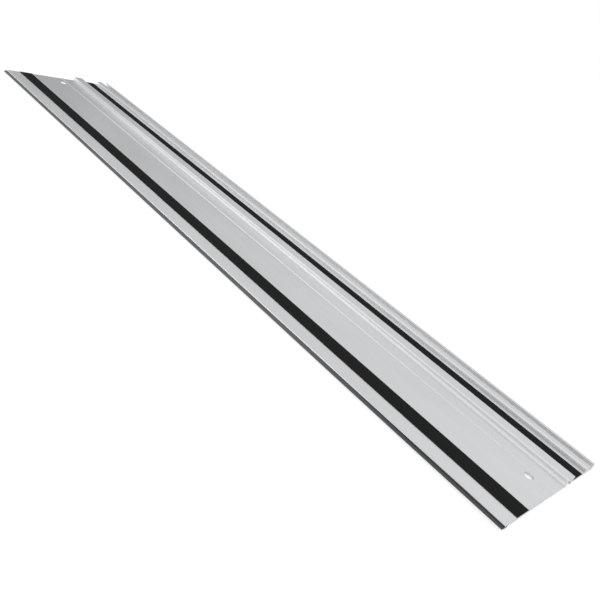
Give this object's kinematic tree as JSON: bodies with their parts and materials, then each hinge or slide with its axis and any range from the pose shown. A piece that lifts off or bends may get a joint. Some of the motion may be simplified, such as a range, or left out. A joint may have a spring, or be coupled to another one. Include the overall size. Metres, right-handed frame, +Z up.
{
  "type": "track saw guide rail",
  "caption": "Flat aluminium guide rail for a plunge saw, with a guide ridge, glide strips, a rubber splinter guard, grip strips and an accessory T-slot.",
  "frame": {"origin": "centre of the footprint, on the plane the grip strips rest on", "axes": "+X along the rail, -Y towards the cutting edge and splinter guard, +Y towards the accessory slot, +Z up"},
  "size_m": [1, 0.182, 0.0104],
  "materials": {
    "anodised_aluminium": "satin clear anodised, fine extrusion lines along the rail",
    "guard_rubber": "matt dark grey",
    "glide_plastic": "fine textured black",
    "grip_foam": "closed-cell black foam",
    "adhesive_film": "translucent tape"
  },
  "bodies": {
    "root": {"rail_extrusion": "anodised_aluminium", "splinter_guard": "guard_rubber", "front_glide_strip": "glide_plastic", "front_glide_adhesive": "adhesive_film", "rear_glide_strip": "glide_plastic", "rear_glide_adhesive": "adhesive_film", "front_grip_strip": "grip_foam", "front_grip_adhesive": "adhesive_film", "rear_grip_strip": "grip_foam", "rear_grip_adhesive": "adhesive_film"}
  },
  "joints": []
}
